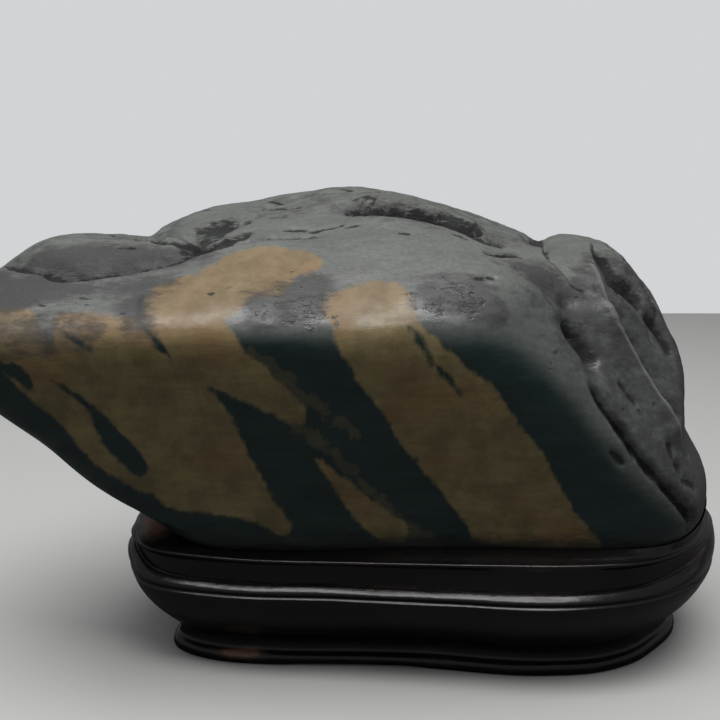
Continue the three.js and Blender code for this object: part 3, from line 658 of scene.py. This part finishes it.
def worn_surface_group():
    """The wear that stone and lacquer share, for a place in millimetres. Tone is a broad mottling of a
    size, Scuffs are fine rubbed marks, and Pits are the bottoms of small holes of uneven shape, which
    lie in loose clusters."""
    group = bpy.data.node_groups.new("worn_surface", "ShaderNodeTree")
    group.interface.new_socket("Place", in_out="INPUT", socket_type="NodeSocketVector")
    for name in ("Mottling size", "Pit spacing", "Pit share"):
        group.interface.new_socket(name, in_out="INPUT", socket_type="NodeSocketFloat")
    for name in ("Tone", "Scuffs", "Pits"):
        group.interface.new_socket(name, in_out="OUTPUT", socket_type="NodeSocketFloat")
    given = group.nodes.new("NodeGroupInput").outputs
    scale = calculate(group, "DIVIDE", 1.0, given["Mottling size"])
    broad = add_node(group, "ShaderNodeTexNoise",
                     {"Vector": given["Place"], "Scale": scale, "Detail": 5.0, "Roughness": 0.6})
    rubbed = grain(group, given["Place"], 0.7, 4.0, 0.7)
    wander = add_node(group, "ShaderNodeTexNoise", {"Vector": given["Place"], "Scale": 0.6, "Detail": 3.0})
    uneven = add_node(group, "ShaderNodeVectorMath", {0: wander.outputs["Color"], 1: (2.6, 2.6, 2.6),
                                                      2: given["Place"]}, operation="MULTIPLY_ADD")
    spacing = calculate(group, "DIVIDE", 1.0, given["Pit spacing"])
    cells = add_node(group, "ShaderNodeTexVoronoi", {"Vector": uneven.outputs["Vector"], "Scale": spacing})
    chosen = add_node(group, "ShaderNodeSeparateColor", {"Color": cells.outputs["Color"]}).outputs["Red"]
    cluster = between(group, grain(group, given["Place"], 16.0, 2.0), 0.5, 0.64)
    reach = scaled(group, between(group, chosen, 0.55, 1.0), given["Pit share"])
    depth = calculate(group, "SUBTRACT", scaled(group, reach, cluster), cells.outputs["Distance"])
    results = {
        "Tone": between(group, broad.outputs["Fac"], 0.32, 0.68),
        "Scuffs": between(group, rubbed, 0.35, 0.7),
        "Pits": between(group, depth, 0.0, 0.16),
    }
    shown = group.nodes.new("NodeGroupOutput")
    for name, socket in results.items():
        group.links.new(socket, shown.inputs[name])
    return group


def place_in_millimetres(tree, stretch=(1, 1, 1)):
    """Object coordinates in millimetres, which a stretch below 1 draws out along an axis."""
    coordinates = add_node(tree, "ShaderNodeTexCoord").outputs["Object"]
    scale = [share / millimetre for share in stretch]
    return add_node(tree, "ShaderNodeMapping", {"Vector": coordinates, "Scale": scale}).outputs["Vector"]


def attribute(tree, name):
    """A number that the mesh keeps for each point."""
    return add_node(tree, "ShaderNodeAttribute", attribute_name=name).outputs["Fac"]


def new_material(name):
    """A material and its node tree, with a plain shader in it."""
    material = bpy.data.materials.new(name)
    material.use_nodes = True
    return material, material.node_tree


def finish(tree, colour, roughness, height, strength):
    """Feeds a material's shader: its colour, its roughness, and a bump of 0.4 mm where the height is 1."""
    bump = add_node(tree, "ShaderNodeBump", {"Height": height, "Strength": strength, "Distance": 0.0004})
    fed = {"Base Color": colour, "Roughness": roughness, "Normal": bump.outputs["Normal"]}
    for name, socket in fed.items():
        tree.links.new(socket, tree.nodes["Principled BSDF"].inputs[name])


worn_surface = worn_surface_group()

# The stone's colours. Each pair is the two ends that noise blends between. The stain colour paints
# shade as well as stains, the crevice colour paints shade with some dirt, and the ridge colour paints a
# highlight.
polished_colours = (0.013, 0.029, 0.028, 1), (0.021, 0.041, 0.038, 1)
olive_colours = (0.055, 0.058, 0.036, 1), (0.090, 0.088, 0.054, 1)
grey_colours = (0.132, 0.140, 0.131, 1), (0.182, 0.191, 0.179, 1)
grey_mottling = (0.105, 0.105, 0.100, 1)
tan_polished_colours = (0.178, 0.138, 0.062, 1), (0.262, 0.204, 0.094, 1)
tan_weathered_colours = (0.196, 0.140, 0.072, 1), (0.268, 0.194, 0.106, 1)
tan_rust = (0.270, 0.150, 0.062, 1)
tan_specks = (0.130, 0.095, 0.048, 1)
chipped_colours = (0.048, 0.051, 0.046, 1), (0.200, 0.208, 0.190, 1)
stain_and_shade_colour = (0.036, 0.035, 0.034, 1)
ridge_highlight_colour = (0.235, 0.240, 0.230, 1)
crevice_dirt_and_shade_colour = (0.016, 0.018, 0.016, 1)


def stone_material():
    """Dark green-black stone with tan bands under a grey weathered skin: the bands' edges are their
    distances made ragged by noise. Hollows are darker, as painted shade with some dirt, and rougher; the
    crests of sharp ridges are paler, as a painted highlight; and the stains are partly painted shade."""
    material, tree = new_material("river_stone")
    place = place_in_millimetres(tree)
    slanted = place_in_millimetres(tree, (1.0, 0.9, 0.7))
    drawn_out = place_in_millimetres(tree, (0.42, 0.8, 1.0))
    wear = add_node(tree, "ShaderNodeGroup", {"Place": drawn_out, "Mottling size": 7.0, "Pit spacing": 2.3,
                                              "Pit share": 0.4}, node_tree=worn_surface).outputs
    skin, hollow_share = attribute(tree, "skin"), attribute(tree, "hollow")
    polish = attribute(tree, "polish")

    def ragged(name, size, reach):
        """A marking's share, 0 outside to 1 inside: its distance made ragged by coarse and fine noise."""
        coarse = scaled(tree, grain(tree, slanted, size, 3.0, 0.6), 2 * reach, -reach - 0.35)
        uneven = scaled(tree, grain(tree, slanted, 0.9, 3.0, 0.6), 0.7, coarse)
        return between(tree, calculate(tree, "ADD", attribute(tree, name), uneven), -0.85, 0.75)

    tan_share = ragged("tan", 4.5, 2.0)
    olive_share = scaled(tree, ragged("olive", 4.0, 5.0), 0.95)
    chip_share = ragged("chipped", 4.0, 11.0)

    fine = grain(tree, place, 1.6, 5.0, 0.65)
    patches = grain(tree, place, 22.0, 3.0, 0.5)
    polished = blend(tree, wear["Tone"], *polished_colours)
    olive = blend(tree, wear["Tone"], *olive_colours)
    polished = blend(tree, olive_share, polished, olive)
    grey = blend(tree, between(tree, fine, 0.3, 0.7), *grey_colours)
    grey = blend(tree, scaled(tree, wear["Tone"], 0.5), grey, grey_mottling)
    dark_stone = blend(tree, skin, polished, grey)
    clouds = between(tree, grain(tree, slanted, 9.0, 5.0, 0.68), 0.36, 0.64)
    tan_polished = blend(tree, clouds, *tan_polished_colours)
    tan = blend(tree, skin, tan_polished, blend(tree, clouds, *tan_weathered_colours))
    tan = blend(tree, scaled(tree, between(tree, patches, 0.5, 0.7), 0.45), tan, tan_rust)
    tan = blend(tree, scaled(tree, between(tree, fine, 0.55, 0.75), 0.3), tan, tan_specks)
    colour = blend(tree, tan_share, dark_stone, tan)
    chipped = blend(tree, between(tree, grain(tree, drawn_out, 1.6, 4.0, 0.7), 0.5, 0.66), *chipped_colours)
    colour = blend(tree, scaled(tree, chip_share, 0.7), colour, chipped)
    streaky = scaled(tree, grain(tree, drawn_out, 2.8, 5.0, 0.68), 12.0, -6.0)
    # Stains and painted shade: the stain marking darkens the stone, mostly as painted shade.
    stain_and_shade_share = between(tree, calculate(tree, "ADD", attribute(tree, "stain_and_shade"), streaky), -3.0, 1.5)
    colour = blend(tree, scaled(tree, stain_and_shade_share, 0.76), colour, stain_and_shade_colour)
    # Painted highlight: the crests of sharp ridges are paler.
    proud = between(tree, hollow_share, -0.15, -0.5)
    colour = blend(tree, scaled(tree, proud, 0.55), colour, ridge_highlight_colour)
    pits = scaled(tree, wear["Pits"], scaled(tree, skin, 0.75, 0.05))
    raggedness = scaled(tree, grain(tree, drawn_out, 1.5, 4.0, 0.7), 3.0, -0.5)
    # Painted shade with some dirt: hollows and pits are darkened.
    in_hollow = scaled(tree, between(tree, scaled(tree, hollow_share, raggedness), 0.2, 0.48), 0.94)
    crevice_dirt_and_shade = calculate(tree, "MAXIMUM", in_hollow, pits)
    colour = blend(tree, crevice_dirt_and_shade, colour, crevice_dirt_and_shade_colour)

    shine = scaled(tree, between(tree, grain(tree, place, 9.0, 3.0, 0.6), 0.35, 0.65), 0.26, 0.16)
    roughness = calculate(tree, "SUBTRACT", 0.58, scaled(tree, polish, shine))
    for share, rougher in ((tan_share, 0.15), (stain_and_shade_share, 0.12), (crevice_dirt_and_shade, 0.3), (wear["Scuffs"], 0.08)):
        roughness = calculate(tree, "MULTIPLY_ADD", share, rougher, roughness, clamp=True)

    rubbed = scaled(tree, wear["Scuffs"], scaled(tree, polish, -0.33, 0.4))
    splinters = calculate(tree, "SUBTRACT", grain(tree, drawn_out, 1.8, 3.0, 0.55), 0.5)
    broken = scaled(tree, splinters, scaled(tree, chip_share, 4.5))
    dented = scaled(tree, grain(tree, drawn_out, 7.0, 2.0, 0.5), 2.5)
    height = scaled(tree, fine, scaled(tree, polish, -1.0, 1.15), rubbed)
    height = calculate(tree, "ADD", height, calculate(tree, "ADD", broken, dented))
    finish(tree, colour, roughness, calculate(tree, "SUBTRACT", height, pits), strength=0.6)
    return material


stone.data.materials.append(stone_material())
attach(stone, "root")
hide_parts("stone")

# Stand
# Carved from one piece of hardwood and lacquered nearly black: a low foot with shallow arches, a
# swelling belly, a bead over a fine arris, a cove, and a thin rim that slopes up to meet the stone.
# Its top is hollowed to the stone's own shape, and the lacquer is rubbed through to brown in places; two of
# these brown places are painted highlights as well.

plan_half = np.array([95.0, 47.0])  # half the length and width that stretch the plan
foot_outline = [
    (-80.5, 0), (-84, -11), (-82.5, -18.8), (-77.3, -23.2), (-67, -27.2), (-50, -29.3), (-30, -30),
    (0, -31.8), (34, -35.6), (48.8, -34.2),
    (60, -30), (72.1, -20.5), (82.3, -7.9), (84.5, 3), (76, 20), (54, 31.5), (20, 34.2), (-15, 33.5),
    (-48, 30.5), (-75, 19.5),
]
bead_outline = [
    (-97.5, 0), (-94.7, -21.4), (-86.1, -33.6), (-64.1, -40.1), (-30, -42.6), (0, -45.4),
    (40.8, -47.7), (59, -43.8), (75.5, -34.5), (86, -22.5), (94, -3), (92.5, 16), (82.5, 31),
    (62, 41.8), (25, 46), (-12, 45.2), (-50, 41.5), (-75, 34.5), (-91, 21),
]
rim_outline = [
    (-95.5, 0), (-93, -20), (-85, -33.5), (-65.3, -38.9), (-30, -41.7), (17.1, -43.8), (41, -44),
    (59.2, -41.7), (70.5, -36), (78, -29.2), (84, -21), (88.6, -12), (92.6, 1), (91, 16), (79, 31.5),
    (50, 40.7), (15, 43.2), (-35, 41), (-68, 34.5), (-88, 21.5),
]
arch_rise = 0.6
contact_level = 43.2  # height of the seat's edge, where the stone goes in
left_rise = 5  # how much higher it is at the left end
right_rise = 4.5  # and at the right end
front_dip = 2.8  # and how much lower at the left of the front
rim_level = 40.5
seat_level = 38.6  # height where the seat's wall turns in to its floor
seat_gap = 0.35  # between the seat and the stone
left_end = -2.92  # angles in the stretched plan
right_end = -0.08
# The rim's rounded edge: how far in from the rim's outline, how far above the edge's level, and wear.
rim_profile = [(0.0, -0.5, 0.8), (0.05, -0.15, 1.0), (0.25, 0.1, 1.0), (0.6, 0.22, 0.5)]
# The slope from the rim's edge to the seat's, as shares of the way and of the rise.
rim_slope = [(0, 0), (0.2, 0.27), (0.4, 0.48), (0.6, 0.66), (0.8, 0.84), (0.93, 0.95), (1, 0.97)]
# Where the lacquer is rubbed away down to bare wood, at the left end of the rim and the left of the foot,
# whose brown also stands in as a painted highlight: middle and reach each way.
rubbed_and_highlit_places = [
    ((-88, -22, 44.5), (11, 12, 4)),
    ((-61, -28.5, 4), (9, 4, 1.8)),
]
# The foot's edge: how far in from the foot's outline, the height, and its share of the arch's rise.
foot_profile = [
    (6.0, 0.0, 0.0), (5.85, 0.0, 1.0), (3.5, 0.0, 1.0), (1.5, 0.0, 1.0), (0.8, 0.1, 0.98),
    (0.3, 0.45, 0.93), (0.08, 1.0, 0.8), (0.0, 1.8, 0.6), (0.04, 2.5, 0.42), (0.25, 3.1, 0.28),
    (0.62, 3.55, 0.16), (1.1, 3.85, 0.06), (1.7, 4.05, 0.0), (2.25, 4.35, 0.0), (2.55, 5.0, 0.0),
    (2.65, 6.4, 0.0), (2.5, 8.2, 0.0),
]
# The belly up to the fine arris: share of the way from the foot's outline to the bead's, and height.
belly_profile = [
    (-0.09, 9.6), (0.03, 10.9), (0.17, 12.5), (0.32, 14.4), (0.47, 16.4), (0.61, 18.6), (0.74, 21.0),
    (0.85, 23.5), (0.93, 25.7), (0.98, 27.5), (0.998, 28.5), (1.0, 28.8), (0.992, 28.98),
]
# The bead and the cove above it, as shares and heights like the belly's: along the sides, where the
# bead is slim, at the left end, where it swells up to a narrow groove, and at the right end, where it
# fills the cove and runs into the rim.
bead_profile = [
    ((0.972, 29.14), (0.985, 29.3), (0.995, 29.4)),
    ((0.950, 29.34), (0.985, 29.6), (1.000, 29.9)),
    ((0.946, 29.55), (0.995, 30.1), (1.005, 30.5)),
    ((0.960, 29.95), (1.010, 30.8), (1.015, 31.3)),
    ((0.978, 30.30), (1.025, 31.6), (1.022, 32.1)),
    ((0.984, 30.60), (1.035, 32.4), (1.027, 33.0)),
    ((0.968, 30.95), (1.035, 33.2), (1.028, 33.9)),
    ((0.934, 31.35), (1.020, 34.0), (1.024, 34.8)),
    ((0.894, 31.76), (0.990, 34.7), (1.015, 35.6)),
    ((0.854, 32.12), (0.950, 35.3), (1.002, 36.4)),
    ((0.815, 32.42), (0.905, 35.7), (0.988, 37.1)),
    ((0.790, 32.40), (0.865, 36.0), (0.975, 37.7)),
    ((0.772, 31.85), (0.838, 36.0), (0.962, 38.2)),
    ((0.750, 31.50), (0.822, 36.1), (0.950, 38.6)),
    ((0.722, 31.50), (0.815, 36.4), (0.940, 38.95)),
    ((0.705, 32.00), (0.815, 36.8), (0.932, 39.25)),
    ((0.698, 34.00), (0.830, 37.3), (0.925, 39.5)),
    ((0.698, 36.00), (0.860, 37.7), (0.920, 39.75)),
    ((0.702, 37.60), (0.900, 38.1), (0.917, 39.95)),
    ((0.712, 38.80), (0.940, 38.5), (0.915, 40.1)),
]


def outline_at(points, angle):
    """Places on a closed outline of the plan. The radius over the angle of the stretched plan is a smooth
    curve through the points: cubic pieces whose slopes come from the points on both sides."""
    plan = np.array(points, float) / plan_half
    angles = np.arctan2(plan[:, 1], plan[:, 0])
    order = np.argsort(angles)
    angles, radii = angles[order], np.hypot(plan[:, 0], plan[:, 1])[order]
    angles = np.concatenate([angles[-2:] - 2 * np.pi, angles, angles[:3] + 2 * np.pi])
    radii = np.concatenate([radii[-2:], radii, radii[:3]])
    slope = np.gradient(radii, angles)
    index = np.searchsorted(angles, angle, side="right") - 1
    span = angles[index + 1] - angles[index]
    t = (angle - angles[index]) / span
    radius = (
        (2 * t**3 - 3 * t**2 + 1) * radii[index] + (t**3 - 2 * t**2 + t) * span * slope[index]
        + (3 * t**2 - 2 * t**3) * radii[index + 1] + (t**3 - t**2) * span * slope[index + 1]
    )
    return np.stack([radius * np.cos(angle), radius * np.sin(angle)], axis=1) * plan_half


def bell(place, middle, width):
    """How near a place is to a middle, as a bell of height 1."""
    return math.e ** -(((place - middle) / width) ** 2)


def recess(x, start, end):
    """The share of the foot's arch, which rises between two lengths along X."""
    return 1 / (1 + np.exp(-(x - start) / 2)) / (1 + np.exp((x - end) / 2))


def block_outline(angle, level, gap):
    """Where the stone's block meets a level, plus a gap, along directions of the stretched plan. The
    way out is halved thirty times between a place inside the block and one outside."""
    rays = np.stack([np.cos(angle), np.sin(angle)], axis=1) * plan_half
    level = np.broadcast_to(level, angle.shape)[:, None]
    inside, outside = np.full(angle.shape, 0.2), np.full(angle.shape, 1.6)
    for _ in range(30):
        middle = (inside + outside) / 2
        above = block_height(np.hstack([rays * middle[:, None], level]))[0] > gap
        outside = np.where(above, middle, outside)
        inside = np.where(above, inside, middle)
    return rays * inside[:, None]


def stand_surface(stations):
    """The stand as rings of stations around it, from the foot's underside up to the rim and down the
    seat. A ring lies in from a plan outline, or a share of the way between two, at its own height, and
    has a share of wear. Broad noise then moves the sides in and out a little, as carving leaves them.
    Returns points, faces and wear."""
    angle = np.arange(stations) / stations * 2 * np.pi - np.pi
    foot, bead, rim = (outline_at(points, angle) for points in (foot_outline, bead_outline, rim_outline))
    out = unit(foot / plan_half**2)
    left = bell(angle, left_end, 0.36) + bell(angle, left_end + 2 * np.pi, 0.36)
    right = bell(angle, right_end, 0.42)
    swollen = math.e ** -(((angle - right_end) / 0.68) ** 4)
    top = contact_level + left_rise * left + right_rise * right - front_dip * bell(angle, -2.2, 0.36)
    arch = np.where(foot[:, 1] < 0, recess(foot[:, 0], -46, -4), recess(foot[:, 0], -34, 30))
    rings, worn = [], []

    def ring(plan, height, wear=0.0):
        rings.append(np.column_stack([plan, np.broadcast_to(height, angle.shape)]))
        worn.append(wear)

    for inset, height, lift in foot_profile:
        ring(foot - out * inset, height + lift * arch_rise * arch, wear=0.8 if 1 < height < 4 else 0.1)
    for share, height in belly_profile:
        ring(foot + (bead - foot) * share, height, wear=bell(height, 28.9, 0.4))
    for (share, height), at_left, at_right in bead_profile:
        share = share + (at_left[0] - share) * left + (at_right[0] - share) * swollen
        level = height + (at_left[1] - height) * left + (at_right[1] - height) * swollen
        ring(foot + (bead - foot) * share[:, None], level, wear=bell(height, 31.6, 0.8))
    under_rim = foot + (bead - foot) * share[:, None]
    edge_level = rim_level + 0.8 * left + 1.2 * right + 0.5 * bell(angle, -2.5, 0.3)
    ring(0.55 * under_rim + 0.45 * rim, 0.55 * level + 0.45 * (edge_level - 0.7))
    ring(0.12 * under_rim + 0.88 * rim, edge_level - 0.8, wear=0.3)
    for inset, rise, wear in rim_profile:
        ring(rim - out * inset, edge_level + rise, wear)
    edge = rim - out * 1.1
    edge_level = edge_level + 0.32
    contact = block_outline(angle, top, seat_gap)
    for share, rise in rim_slope:
        ring(edge + (contact - edge) * share, edge_level + (top - edge_level) * rise, wear=0.1)
    for drop in (0.25, 0.5, 0.75, 1):
        level = top + (seat_level - top) * drop
        ring(block_outline(angle, level, seat_gap), level - 0.3)
    ring(block_outline(angle, seat_level, seat_gap) * 0.97, seat_floor)
    points = np.concatenate(rings)
    wear = np.repeat(worn, stations)
    carved = 0.16 * noise(points * np.array([0.6, 0.6, 1.6]), 11, 51, 2)
    carving = np.clip((points[:, 2] - 1) / 3, 0, 1) * np.clip((41 - points[:, 2]) / 3, 0, 1)
    points[:, :2] += np.tile(out, (len(rings), 1)) * (carved * carving)[:, None]
    wear = wear * (0.55 + 0.45 * noise(points, 16, 61, 2))
    # The two rubbed places are bare wood, and their brown is a painted highlight as well.
    for middle, reach in rubbed_and_highlit_places:
        wear += 2.0 * np.exp(-np.sum(((points - middle) / reach) ** 2, axis=1))
    ring_start = np.arange(len(rings) - 1)[:, None] * stations
    here = np.arange(stations)[None, :]
    following = (here + 1) % stations
    quads = np.stack([ring_start + here, ring_start + following, ring_start + stations + following,
                      ring_start + stations + here], axis=-1).reshape(-1, 4)
    lowest, highest = len(points), len(points) + 1
    last = (len(rings) - 1) * stations
    under = np.column_stack([following[0], here[0], np.full(stations, lowest)])
    seat = np.column_stack([last + here[0], last + following[0], np.full(stations, highest)])
    points = np.vstack([points, [0, 0, 0], [0, 0, seat_floor]])
    return points, quads.tolist() + under.tolist() + seat.tolist(), np.append(wear, [0, 0])


seat_floor = stone_points[:, 2].min() - 0.3
stand_points, stand_faces, stand_wear = stand_surface(stations=480)
stand = new_piece("carved_stand", stand_points, stand_faces, {"wear": stand_wear})


# Pairs of colours that mottling blends between, and the bare wood, which also serves as a painted highlight
# at the most rubbed places.
lacquer_colours = (0.0042, 0.0038, 0.0038, 1), (0.0075, 0.0062, 0.0060, 1)
rubbed_colours = (0.040, 0.019, 0.014, 1), (0.072, 0.042, 0.031, 1)
bare_wood_and_highlight = (0.260, 0.140, 0.095, 1)


def lacquer_material():
    """Nearly black lacquer over brown hardwood: rubbed thin and reddish on the edges that stand proud, and
    down to bare wood where it is most worn, with faint pores along the grain and a soft unevenness. The bare
    wood at the two most rubbed places is also a painted highlight."""
    material, tree = new_material("lacquered_hardwood")
    place = place_in_millimetres(tree)
    along_grain = place_in_millimetres(tree, (0.12, 1.0, 1.0))
    marks = add_node(tree, "ShaderNodeGroup", {"Place": along_grain, "Mottling size": 5.0, "Pit spacing": 1.4,
                                               "Pit share": 0.42}, node_tree=worn_surface).outputs
    uneven = grain(tree, place, 9.0, 4.0, 0.6)
    rub = calculate(tree, "ADD", attribute(tree, "wear"), scaled(tree, uneven, 1.6, -1.1))
    # Bare wood where the wear is highest; at the rubbed places on the rim and foot it is a painted highlight
    # as well.
    bare = between(tree, rub, 0.9, 1.6)
    rub = scaled(tree, between(tree, rub, 0.2, 1.0), 0.8)
    lacquer = blend(tree, marks["Tone"], *lacquer_colours)
    wood = blend(tree, marks["Tone"], *rubbed_colours)
    colour = blend(tree, rub, lacquer, blend(tree, bare, wood, bare_wood_and_highlight))
    roughness = scaled(tree, marks["Scuffs"], 0.07, scaled(tree, rub, 0.20, 0.17))
    height = scaled(tree, uneven, 1.2, scaled(tree, marks["Scuffs"], 0.07))
    height = calculate(tree, "SUBTRACT", height, scaled(tree, marks["Pits"], 0.2))
    finish(tree, colour, roughness, height, strength=0.3)
    return material


stand.data.materials.append(lacquer_material())
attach(stand, "root")
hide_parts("stand")

# Floor, light and camera
# A plain pale floor under a soft overhead light, and a pale surround. The floor and the surround
# throw back less light than they show, which keeps the stone's front in the shade of its shoulder.

floor_half = 4000.0
floor_back = 680.0
floor_seen = (0.62, 0.62, 0.60, 1)
floor_thrown_back = (0.10, 0.10, 0.10, 1)
surround_seen = (0.64, 0.65, 0.66, 1)
surround_thrown_back = (0.20, 0.205, 0.21, 1)


def throw_back_less(tree, shader, thrown_back, seen):
    """Feeds a shader one colour for what the camera sees of it, and another for what it throws back."""
    to_camera = add_node(tree, "ShaderNodeLightPath").outputs["Is Camera Ray"]
    tree.links.new(blend(tree, to_camera, thrown_back, seen), shader.inputs[0])


floor_corners = np.array([(-floor_half, -floor_half, 0), (floor_half, -floor_half, 0),
                          (floor_half, floor_back, 0), (-floor_half, floor_back, 0)])
floor = new_piece("floor", floor_corners, [(0, 1, 2, 3)], {})
floor_material, floor_tree = new_material("pale_floor")
floor_shader = floor_tree.nodes["Principled BSDF"]
floor_shader.inputs["Roughness"].default_value = 0.85
floor_shader.inputs["Specular IOR Level"].default_value = 0.1
throw_back_less(floor_tree, floor_shader, floor_thrown_back, floor_seen)
floor.data.materials.append(floor_material)

world = bpy.data.worlds.new("surround")
world.use_nodes = True
bpy.context.scene.world = world
throw_back_less(world.node_tree, world.node_tree.nodes["Background"], surround_thrown_back, surround_seen)


def soft_light(name, place, aim, size, watts):
    """A rectangular soft light in metres that looks at a point: its turn from straight down is the angle
    between down and the way to that point, and then it turns about the vertical towards it."""
    data = bpy.data.lights.new(name, "AREA")
    data.shape = "RECTANGLE"
    data.size, data.size_y = size
    data.energy = watts
    light = in_scene(name, data)
    light.location = place
    away = np.array(aim, float) - place
    flat = math.hypot(away[0], away[1])
    light.rotation_euler = (math.atan2(flat, -away[2]), 0, math.atan2(away[1], away[0]) - math.pi / 2)


soft_light("overhead", place=(-0.08, -0.20, 0.95), aim=(-0.02, 0, 0.1), size=(0.9, 0.5), watts=8.2)

view_angle = 45
pitch_down = 12
camera_data = bpy.data.cameras.new("camera")
camera_data.sensor_width = 36
camera_data.lens = camera_data.sensor_width / 2 / math.tan(math.radians(view_angle / 2))
camera_data.clip_start = 0.01
camera = in_scene("camera", camera_data)
camera.location = (-0.023, -0.275, 0.150)
camera.rotation_euler = (math.radians(90 - pitch_down), 0, 0)
bpy.context.scene.camera = camera
bpy.context.scene.view_settings.view_transform = "Standard"
